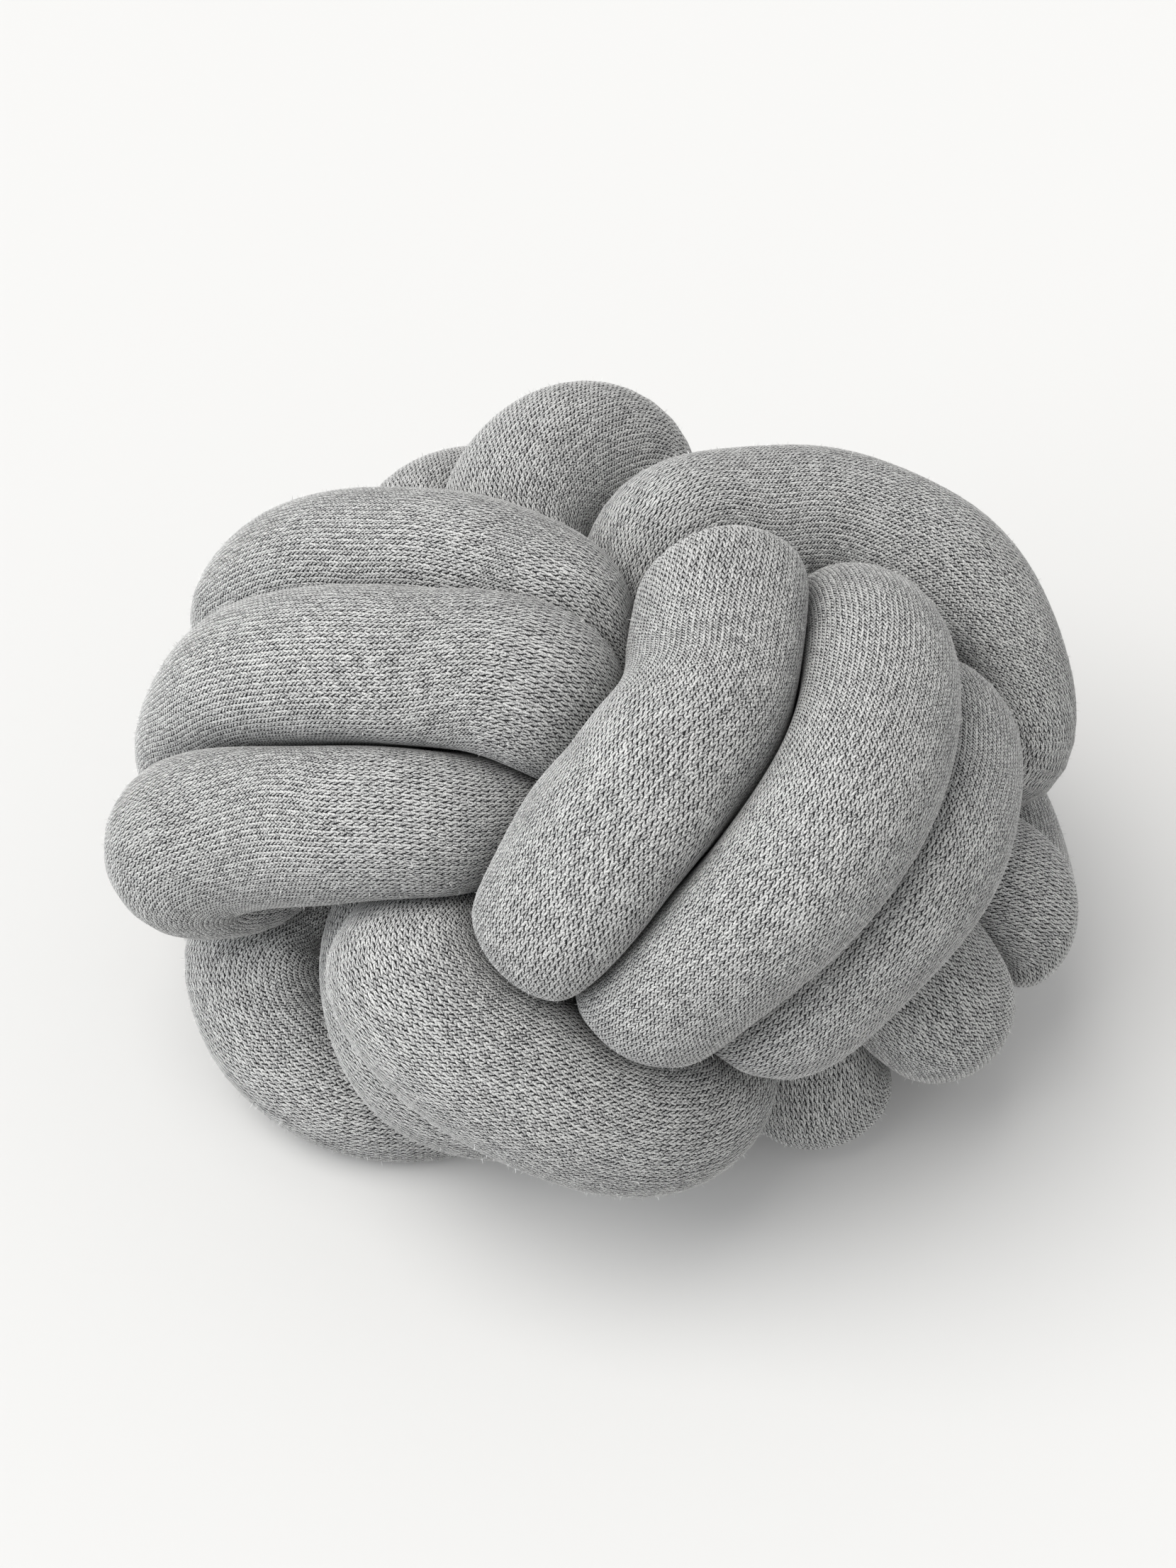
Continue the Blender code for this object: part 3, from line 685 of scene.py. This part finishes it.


def knit_group():
    """Plain knitting seen from its face: V-shaped stitches in rows, their eyes painted dark as shade."""
    number = "NodeSocketFloat"
    group = new_group("ShaderNodeTree", "knit stitches", (
        ("Cloth Place", "NodeSocketVector", None),
        ("Object Place", "NodeSocketVector", None),
        ("Wales", number, 94.0),
        ("Courses", number, 4000.0),
        ("Slant", number, 0.95),
        ("Leg Width", number, 1.08),
        ("Unevenness", number, 0.38),
    ), (("Height", number), ("Unshaded", number), ("Leg Shade", number), ("Fibre Shade", number)))
    t = Tree(group)
    given = t.node("NodeGroupInput").outputs
    stray = t.apart(t.noise(given["Object Place"], STRAY_SCALE, 1.0)[1])
    places = []
    for share, count, value, reach in zip(t.apart(given["Cloth Place"]), (given["Wales"], given["Courses"]),
                                          stray, (STRAY_ACROSS, STRAY_ALONG)):
        moved = t.times(t.minus(value, 0.5), given["Unevenness"])
        places.append(t.plus(t.times(share, count), t.times(moved, reach)))
    across_wales, along_courses = places
    wale = t.math("FLOOR", across_wales)
    off = t.minus(t.math("FRACT", across_wales), 0.5)
    hand = t.math("SIGN", off)
    out = t.times(t.math("ABSOLUTE", off), 2.0)

    # A leg runs from the middle of its wale to the edge.
    curl = t.times(t.math("SINE", t.times(out, 2.0 * math.pi)), LEG_CURL)
    rise = t.times(t.plus(out, curl), given["Slant"])
    row_place = t.minus(along_courses, rise)
    stitch = t.join(wale, t.math("FLOOR", row_place), hand)
    leg = t.node("ShaderNodeTexWhiteNoise", {"Vector": stitch}, noise_dimensions="3D").outputs[0]

    # Its ends are narrower and lie deeper than its middle.
    inner = t.minus(1.0, t.times(out, INNER_START), clamp=True)
    outer = t.minus(t.times(out, OUTER_SLOPE), OUTER_START, clamp=True)
    outer = t.times(t.math("POWER", outer, 2.0), OUTER_SHARE)
    end = t.plus(t.math("POWER", inner, INNER_POWER), outer)
    room = t.minus(1.0, t.times(end, END_NARROWING))
    room = t.times(given["Leg Width"], room)
    room = t.times(room, t.plus(LEG_LEAST, t.times(leg, LEG_MORE)))
    room = t.times(room, t.math("MULTIPLY_ADD", hand, HAND_WIDTH, 1.0))
    across = t.times(t.minus(t.math("FRACT", row_place), 0.5), 2.0)
    across = t.math("DIVIDE", across, room)
    height = t.minus(1.0, t.times(across, across), clamp=True)
    height = t.math("POWER", height, LEG_ROUNDNESS)
    height = t.times(height, t.minus(1.0, t.times(end, END_SINKING)))
    height = t.times(height, t.math("MULTIPLY_ADD", hand, HAND_HEIGHT, LEG_HEIGHT))

    # The fibres that the yarn is spun from, and flecks over all.
    own = t.plus(t.times(wale, WALE_SHIFT), t.times(hand, HAND_SHIFT))
    twist = t.join(t.times(row_place, TWIST_ACROSS), t.times(out, TWIST_ALONG), own)
    fibre = t.step(t.noise(twist, 1.0, 3.0, 0.7)[0], *FIBRE_RANGE)
    fleck = t.step(t.noise(given["Object Place"], FLECK_SCALE, 1.0)[0], *FLECK_RANGE)
    fibre = t.plus(t.times(fibre, 0.5), t.times(fleck, 0.5))
    grain = t.times(t.minus(fibre, 0.5), FIBRE_RELIEF)
    height = t.plus(height, grain)
    result = t.node("NodeGroupOutput").inputs
    t.feed(result["Height"], height)
    # This mask is 1 on the yarn and 0 deep in the eyes, where the material paints shade.
    t.feed(result["Unshaded"], t.step(height, *UNSHADED_RANGE))
    t.feed(result["Leg Shade"], leg)
    t.feed(result["Fibre Shade"], fibre)
    return group


# What makes yarn paler: the stitch it is in, its fibres, and broad patches of the cloth.
LEG_SHADE = 0.22
FIBRE_SHADE = 0.75
PATCH_SHADE = 0.2
PATCH_SCALE = 45.0
SHADE_RANGE = (0.29, 0.85)
# How edge on the cloth is seen, from where its loose fibres begin to hide it to where they do so most.
FUZZ_RANGE = (0.66, 1.0)


def knit_material(settings, courses):
    """Heather grey yarn, knitted; the stitches follow the tube's own cloth map."""
    material, shader, t = new_material("heather knit")
    cloth = t.node("ShaderNodeUVMap", uv_map=CLOTH_MAP).outputs[0]
    place = t.node("ShaderNodeTexCoord").outputs["Object"]
    knit = t.node("ShaderNodeGroup", node_tree=knit_group())
    for label, value in (("Cloth Place", cloth), ("Object Place", place), ("Wales", float(settings.wales)),
                         ("Courses", float(courses)), ("Slant", settings.slant),
                         ("Leg Width", settings.leg_width), ("Unevenness", settings.unevenness)):
        t.feed(knit.inputs[label], value)
    height, unshaded, leg, fibre = knit.outputs
    patch = t.noise(place, PATCH_SCALE, 2.0)[0]
    shade = t.plus(t.times(leg, LEG_SHADE), t.times(fibre, FIBRE_SHADE))
    shade = t.plus(shade, t.times(patch, PATCH_SHADE))
    yarn = t.mix(t.step(shade, *SHADE_RANGE), tuple(settings.dark_yarn), tuple(settings.light_yarn))
    # The eyes are painted near black: painted shade deep between the stitches.
    colour = t.mix(unshaded, tuple(settings.eye_shade_colour), yarn)

    # Seen edge on, the loose fibres hide the stitches.
    edge = t.node("ShaderNodeLayerWeight", {"Blend": 0.5}).outputs["Facing"]
    fuzz = t.times(t.step(edge, *FUZZ_RANGE), settings.edge_fuzz)
    colour = t.mix(fuzz, colour, tuple(settings.fuzz_colour))
    t.feed(shader.inputs["Base Color"], colour)
    relief = t.minus(1.0, fuzz)
    bump = t.node("ShaderNodeBump", {"Strength": relief, "Distance": settings.relief, "Height": height})
    t.feed(shader.inputs["Normal"], bump.outputs[0])
    t.feed(shader.inputs["Sheen Weight"], t.times(unshaded, settings.bloom))
    shader.inputs["Roughness"].default_value = 0.9
    shader.inputs["Specular IOR Level"].default_value = 0.25
    shader.inputs["Sheen Roughness"].default_value = 0.55
    shader.inputs["Sheen Tint"].default_value = (1.0, 1.0, 1.0, 1.0)
    return material


FIBRE_DIM = 0.6           # the darkest fibres, as a share of the colour
FIBRE_TONE_SCALE = 900.0
FIBRE_TONE_RANGE = (0.3, 0.7)


def fibre_material(colour):
    """The pale loose fibres that stand out of the yarn."""
    material, shader, t = new_material("loose fibres")
    tone = t.noise(t.node("ShaderNodeTexCoord").outputs["Object"], FIBRE_TONE_SCALE, 1.0)[0]
    dim = tuple(FIBRE_DIM * part for part in colour[:3]) + (1.0,)
    t.feed(shader.inputs["Base Color"], t.mix(t.step(tone, *FIBRE_TONE_RANGE), dim, tuple(colour)))
    shader.inputs["Roughness"].default_value = 0.8
    shader.inputs["Specular IOR Level"].default_value = 0.3
    return material


# A sliver, a unit long: half its width, its lean and its height, at its foot, middle and tip.
SLIVER_FOOT = (0.04, 0.0, 0.0)
SLIVER_MIDDLE = (0.028, 0.06, 0.5)
SLIVER_TIP = (0.0, 0.28, 0.95)


def sliver_mesh(material):
    """One fibre: a thin tapering strip that curls over."""
    mesh = bpy.data.meshes.new("fibre sliver")
    foot, middle = ([(-half, lean, up), (half, lean, up)]
                    for half, lean, up in (SLIVER_FOOT, SLIVER_MIDDLE))
    mesh.from_pydata(foot + middle[::-1] + [SLIVER_TIP], [], [(0, 1, 2, 3), (3, 2, 4)])
    mesh.materials.append(material)
    return mesh


RAY_LIFT = 0.0005         # from the skin to where a fibre looks for clear room
LEAN_LEAST = (0.5, 0.0, 0.0)
LEAN_MOST = (1.45, 0.0, 2.0 * math.pi)


def fibre_group():
    """Slivers strewn over the open parts of a skin, each leaning its own way."""
    number = "NodeSocketFloat"
    group = new_group("GeometryNodeTree", "strewn fibres", (
        ("Skin", "NodeSocketGeometry", None),
        ("Sliver", "NodeSocketObject", None),
        ("Fibre Material", "NodeSocketMaterial", None),
        ("Density", number, 124000.0),
        ("Shortest", number, 0.0007),
        ("Longest", number, 0.002),
        ("Clear Reach", number, 0.012),
        ("Seed", "NodeSocketInt", 7),
    ), (("Fibres", "NodeSocketGeometry"),))
    t = Tree(group)
    given = t.node("NodeGroupInput").outputs
    strewn = t.node("GeometryNodeDistributePointsOnFaces",
                    {"Mesh": given["Skin"], "Density": given["Density"], "Seed": given["Seed"]})
    points, normal, turned = strewn.outputs["Points"], strewn.outputs["Normal"], strewn.outputs["Rotation"]
    lifted = t.node("ShaderNodeVectorMath", {0: normal, "Scale": RAY_LIFT}, operation="SCALE").outputs[0]
    place = t.node("GeometryNodeInputPosition").outputs[0]
    start = t.node("ShaderNodeVectorMath", {0: place, 1: lifted}, operation="ADD").outputs[0]
    ray = t.node("GeometryNodeRaycast", {"Target Geometry": given["Skin"], "Source Position": start,
                                         "Ray Direction": normal, "Ray Length": given["Clear Reach"]})
    low = t.math("LESS_THAN", t.apart(place)[2], given["Longest"])
    covered = t.math("MAXIMUM", ray.outputs["Is Hit"], low)
    points = t.node("GeometryNodeDeleteGeometry", {"Geometry": points, "Selection": covered},
                    domain="POINT").outputs[0]
    lean = t.node("FunctionNodeRandomValue", {0: LEAN_LEAST, 1: LEAN_MOST, "Seed": given["Seed"]},
                  data_type="FLOAT_VECTOR").outputs[0]
    lean = t.node("FunctionNodeEulerToRotation", {"Euler": lean}).outputs[0]
    turned = t.node("FunctionNodeRotateRotation", {"Rotation": turned, "Rotate By": lean},
                    rotation_space="LOCAL").outputs[0]
    size = t.node("FunctionNodeRandomValue",
                  {2: given["Shortest"], 3: given["Longest"], "Seed": given["Seed"]},
                  data_type="FLOAT").outputs[1]
    sliver = t.node("GeometryNodeObjectInfo", {"Object": given["Sliver"]}).outputs["Geometry"]
    fibres = t.node("GeometryNodeInstanceOnPoints",
                    {"Points": points, "Instance": sliver, "Rotation": turned, "Scale": size}).outputs[0]
    fibres = t.node("GeometryNodeRealizeInstances", {"Geometry": fibres}).outputs[0]
    fibres = t.node("GeometryNodeSetMaterial",
                    {"Geometry": fibres, "Material": given["Fibre Material"]}).outputs[0]
    t.feed(t.node("NodeGroupOutput").inputs["Fibres"], fibres)
    return group


def grown(piece, group, values):
    """The plain mesh that the node group makes of the piece, with its inputs set by name."""
    modifier = piece.modifiers.new(group.name, "NODES")
    modifier.node_group = group
    for item in group.interface.items_tree:
        if item.in_out == "INPUT" and item.name in values:
            modifier[item.identifier] = values[item.name]
    piece.update_tag()
    seen = bpy.context.evaluated_depsgraph_get()
    mesh = bpy.data.meshes.new_from_object(piece.evaluated_get(seen))
    piece.modifiers.remove(modifier)
    return mesh


FLOOR_HALF = 6.0
FLOOR_CLOUD = 0.995       # the darkest places of the floor, as a share of its colour


def floor_material(colour, glow):
    """A pale matt floor, faintly lit from below."""
    material, shader, t = new_material("pale floor")
    cloud = t.noise(t.node("ShaderNodeTexCoord").outputs["Object"], 2.0, 3.0)[0]
    dim = tuple(FLOOR_CLOUD * part for part in colour[:3]) + (1.0,)
    t.feed(shader.inputs["Base Color"], t.mix(cloud, dim, tuple(colour)))
    shader.inputs["Roughness"].default_value = 0.8
    shader.inputs["Specular IOR Level"].default_value = 0.2
    shader.inputs["Emission Color"].default_value = (1.0, 1.0, 1.0, 1.0)
    shader.inputs["Emission Strength"].default_value = glow
    return material


def show(name, mesh):
    """An object at the origin, in the scene."""
    piece = bpy.data.objects.new(name, mesh)
    bpy.context.scene.collection.objects.link(piece)
    return piece


def colour_property(name, description, default):
    return bpy.props.FloatVectorProperty(name=name, description=description, default=default, size=4,
                                         min=0.0, max=1.0, subtype="COLOR")


class KnotClothSettings(bpy.types.PropertyGroup):
    """The knitted cloth."""

    wales: bpy.props.IntProperty(
        name="Wales", description="Columns of stitches round the tube", default=94, min=8, max=400)
    course: bpy.props.FloatProperty(
        name="Course", description="Length of one stitch along the tube", default=0.00139, min=0.0005,
        unit="LENGTH", subtype="DISTANCE", precision=5)
    slant: bpy.props.FloatProperty(
        name="Slant", description="Stitches that a leg rises from its wale's middle to its edge",
        default=0.95, min=0.2, max=2.0)
    leg_width: bpy.props.FloatProperty(
        name="Leg Width", description="Width of a stitch's leg, as a share of its room", default=1.08,
        min=0.3, max=1.5, subtype="FACTOR")
    unevenness: bpy.props.FloatProperty(
        name="Unevenness", description="How far stitches stray from even rows", default=0.38, min=0.0,
        max=1.0, subtype="FACTOR")
    relief: bpy.props.FloatProperty(
        name="Relief", description="Height of the stitches over the eyes between them", default=0.0012,
        min=0.0, unit="LENGTH", subtype="DISTANCE", precision=5)
    bloom: bpy.props.FloatProperty(
        name="Bloom", description="Pale glow of the short loose fibres, seen edge on", default=0.35,
        min=0.0, max=1.0, subtype="FACTOR")
    edge_fuzz: bpy.props.FloatProperty(
        name="Edge Fuzz", description="How far the loose fibres hide the stitches, seen edge on",
        default=0.36, min=0.0, max=1.0, subtype="FACTOR")
    fuzz_colour: colour_property(
        "Fuzz Colour", "Colour of the loose fibres, seen edge on", (0.56, 0.56, 0.555, 1.0))
    light_yarn: colour_property("Light Yarn", "Colour of the palest fibres", (1.0, 1.0, 0.985, 1.0))
    dark_yarn: colour_property("Dark Yarn", "Colour of the darkest fibres", (0.33, 0.33, 0.335, 1.0))
    # The eyes' colour is painted shade, near black deep between the stitches.
    eye_shade_colour: colour_property(
        "Eye Shade Colour", "Colour deep between the stitches", (0.012, 0.012, 0.014, 1.0))


class KnotFibreSettings(bpy.types.PropertyGroup):
    """The loose fibres on the cloth."""

    density: bpy.props.FloatProperty(
        name="Density", description="Fibres on a square metre of skin", default=124000.0, min=0.0)
    shortest: bpy.props.FloatProperty(
        name="Shortest", description="Length of the shortest fibres", default=0.0007, min=0.0001,
        unit="LENGTH", subtype="DISTANCE", precision=5)
    longest: bpy.props.FloatProperty(
        name="Longest", description="Length of the longest fibres", default=0.002, min=0.0001,
        unit="LENGTH", subtype="DISTANCE", precision=5)
    clear: bpy.props.FloatProperty(
        name="Clear Reach", description="Room over the skin that an open place has", default=0.012,
        min=0.0, unit="LENGTH", subtype="DISTANCE")
    seed: bpy.props.IntProperty(
        name="Seed", description="Which of the random layouts is used", default=7, min=0)
    colour: colour_property("Colour", "Colour of the fibres", (0.85, 0.85, 0.84, 1.0))


class KnotStageSettings(bpy.types.PropertyGroup):
    """Floor, lights and camera."""

    floor_colour: colour_property("Floor", "Colour of the floor", (0.547, 0.546, 0.541, 1.0))
    floor_glow: bpy.props.FloatProperty(
        name="Floor Glow", description="Strength of the light from below the pale floor",
        default=0.08, min=0.0)
    fill: bpy.props.FloatProperty(
        name="Fill", description="Strength of the even light from all round", default=0.73, min=0.0)
    key_strength: bpy.props.FloatProperty(
        name="Key Strength", description="Strength of the high soft light", default=2.55, min=0.0)
    side_strength: bpy.props.FloatProperty(
        name="Side Strength", description="Strength of the low soft light from the left",
        default=1.45, min=0.0)
    light_spread: bpy.props.FloatProperty(
        name="Light Spread", description="How large each soft light looks from the cushion, as an angle",
        default=math.radians(50.0), subtype="ANGLE", unit="ROTATION")
    elevation: bpy.props.FloatProperty(
        name="Elevation", description="Camera's height over the floor, as an angle",
        default=math.radians(48.0), subtype="ANGLE", unit="ROTATION")
    distance: bpy.props.FloatProperty(
        name="Distance", description="From the camera to the knot's middle", default=1.3, min=0.1,
        unit="LENGTH", subtype="DISTANCE")
    lens: bpy.props.FloatProperty(
        name="Lens", description="Focal length, with 36 millimetres over the picture's height",
        default=98.1, min=10.0, unit="CAMERA", subtype="DISTANCE_CAMERA")


class KNOT_OT_tube(bpy.types.Operator):
    """Lay, tie and knit the stuffed tube"""

    bl_idname = "knot_cushion.tube"
    bl_label = "Knotted Tube"

    def execute(self, context):
        settings = context.scene.knot_cloth
        line, route, middle = tied_knot()
        rings = pressed_rings(line, route, FINE_SIDES, FINE_GAP, FINE_PASSES, FINE_POWER) - middle
        mesh = closed_tube("knotted_tube", rings, line)
        length = np.linalg.norm(after(line) - line, axis=1).sum() * MM
        mesh.materials.append(knit_material(settings, round(length / settings.course)))
        tube = show("knotted_tube", mesh)
        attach(tube, "root")
        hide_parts("knot_tube")
        return {"FINISHED"}


class KNOT_OT_fibres(bpy.types.Operator):
    """Strew loose fibres over the open parts of the tube"""

    bl_idname = "knot_cushion.fibres"
    bl_label = "Loose Fibres"

    def execute(self, context):
        settings = context.scene.knot_fibres
        tube = context.scene.objects.get("knotted_tube")
        if tube is None:
            raise RuntimeError("the loose fibres need the knotted tube")
        material = fibre_material(settings.colour)
        sliver = show("fibre_sliver", sliver_mesh(material))
        holder = show("loose_fibres", tube.data)
        mesh = grown(holder, fibre_group(), {
            "Sliver": sliver, "Fibre Material": material, "Density": settings.density,
            "Shortest": settings.shortest, "Longest": settings.longest, "Clear Reach": settings.clear,
            "Seed": settings.seed})
        bpy.data.objects.remove(sliver)
        holder.data = mesh
        mesh.name = "loose_fibres"
        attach(holder, "root")
        return {"FINISHED"}


def aim(thing, target):
    """Turn a lamp so that it points at the target."""
    way = Vector(target) - thing.location
    thing.rotation_euler = way.to_track_quat("-Z", "Y").to_euler()


LIT_PLACE = (0.0, 0.0, 0.08)
KEY_PLACE = (-0.75, -0.2, 1.8)
KEY_TINT = (1.0, 0.985, 0.96)
SIDE_PLACE = (-1.6, -0.55, 0.6)
SIDE_TINT = (0.93, 0.965, 1.0)


class KNOT_OT_stage(bpy.types.Operator):
    """Put down the pale floor, the soft lights and the camera"""

    bl_idname = "knot_cushion.stage"
    bl_label = "Stage"

    def execute(self, context):
        settings = context.scene.knot_stage
        self.put_floor(settings)
        self.put_lights(context.scene, settings)
        self.put_camera(context.scene, settings)
        return {"FINISHED"}

    def put_floor(self, settings):
        corners = [(x * FLOOR_HALF, y * FLOOR_HALF, 0.0) for x, y in ((-1, -1), (1, -1), (1, 1), (-1, 1))]
        mesh = bpy.data.meshes.new("floor")
        mesh.from_pydata(corners, [], [(0, 1, 2, 3)])
        mesh.materials.append(floor_material(settings.floor_colour, settings.floor_glow))
        show("floor", mesh)

    def put_lights(self, scene, settings):
        world = bpy.data.worlds.new("even light")
        world.use_nodes = True
        background = world.node_tree.nodes["Background"]
        background.inputs["Color"].default_value = (1.0, 1.0, 1.0, 1.0)
        background.inputs["Strength"].default_value = settings.fill
        scene.world = world
        for name, place, strength, tint in (
                ("soft key", KEY_PLACE, settings.key_strength, KEY_TINT),
                ("soft side light", SIDE_PLACE, settings.side_strength, SIDE_TINT)):
            data = bpy.data.lights.new(name, "SUN")
            data.angle = settings.light_spread
            data.energy = strength
            data.color = tint
            lamp = bpy.data.objects.new(name, data)
            lamp.location = place
            scene.collection.objects.link(lamp)
            aim(lamp, LIT_PLACE)

    def put_camera(self, scene, settings):
        data = bpy.data.cameras.new("camera")
        data.sensor_fit = "VERTICAL"
        data.sensor_height = 36.0
        data.lens = settings.lens
        camera = bpy.data.objects.new("camera", data)
        middle = tied_knot()[2]
        seen = np.array((0.0, 0.0, 0.5 * REST_HEIGHT - FLOOR_SINK)) - middle
        back = np.array((0.0, -math.cos(settings.elevation), math.sin(settings.elevation)))
        camera.location = seen * MM + back * settings.distance
        camera.rotation_euler = (0.5 * math.pi - settings.elevation, 0.0, 0.0)
        scene.collection.objects.link(camera)
        scene.camera = camera
        scene.view_settings.view_transform = "Standard"


class KNOT_PT_panel(bpy.types.Panel):
    """The cushion's pieces and their settings"""

    bl_label = "Knot Cushion"
    bl_idname = "KNOT_PT_panel"
    bl_space_type = "VIEW_3D"
    bl_region_type = "UI"
    bl_category = "Knot Cushion"

    def draw(self, context):
        scene = context.scene
        for operator, settings in (("knot_cushion.tube", scene.knot_cloth),
                                   ("knot_cushion.fibres", scene.knot_fibres),
                                   ("knot_cushion.stage", scene.knot_stage)):
            box = self.layout.box()
            box.operator(operator)
            for name in settings.bl_rna.properties.keys():
                if name not in ("rna_type", "name"):
                    box.prop(settings, name)


CLASSES = (KnotClothSettings, KnotFibreSettings, KnotStageSettings,
           KNOT_OT_tube, KNOT_OT_fibres, KNOT_OT_stage, KNOT_PT_panel)


def register():
    for each in CLASSES:
        bpy.utils.register_class(each)
    bpy.types.Scene.knot_cloth = bpy.props.PointerProperty(type=KnotClothSettings)
    bpy.types.Scene.knot_fibres = bpy.props.PointerProperty(type=KnotFibreSettings)
    bpy.types.Scene.knot_stage = bpy.props.PointerProperty(type=KnotStageSettings)


def unregister():
    del bpy.types.Scene.knot_stage
    del bpy.types.Scene.knot_fibres
    del bpy.types.Scene.knot_cloth
    for each in reversed(CLASSES):
        bpy.utils.unregister_class(each)


def main():
    """Make the pieces and the stage."""
    register()
    bpy.ops.knot_cushion.tube()
    bpy.ops.knot_cushion.fibres()
    bpy.ops.knot_cushion.stage()


if __name__ == "__main__":
    main()
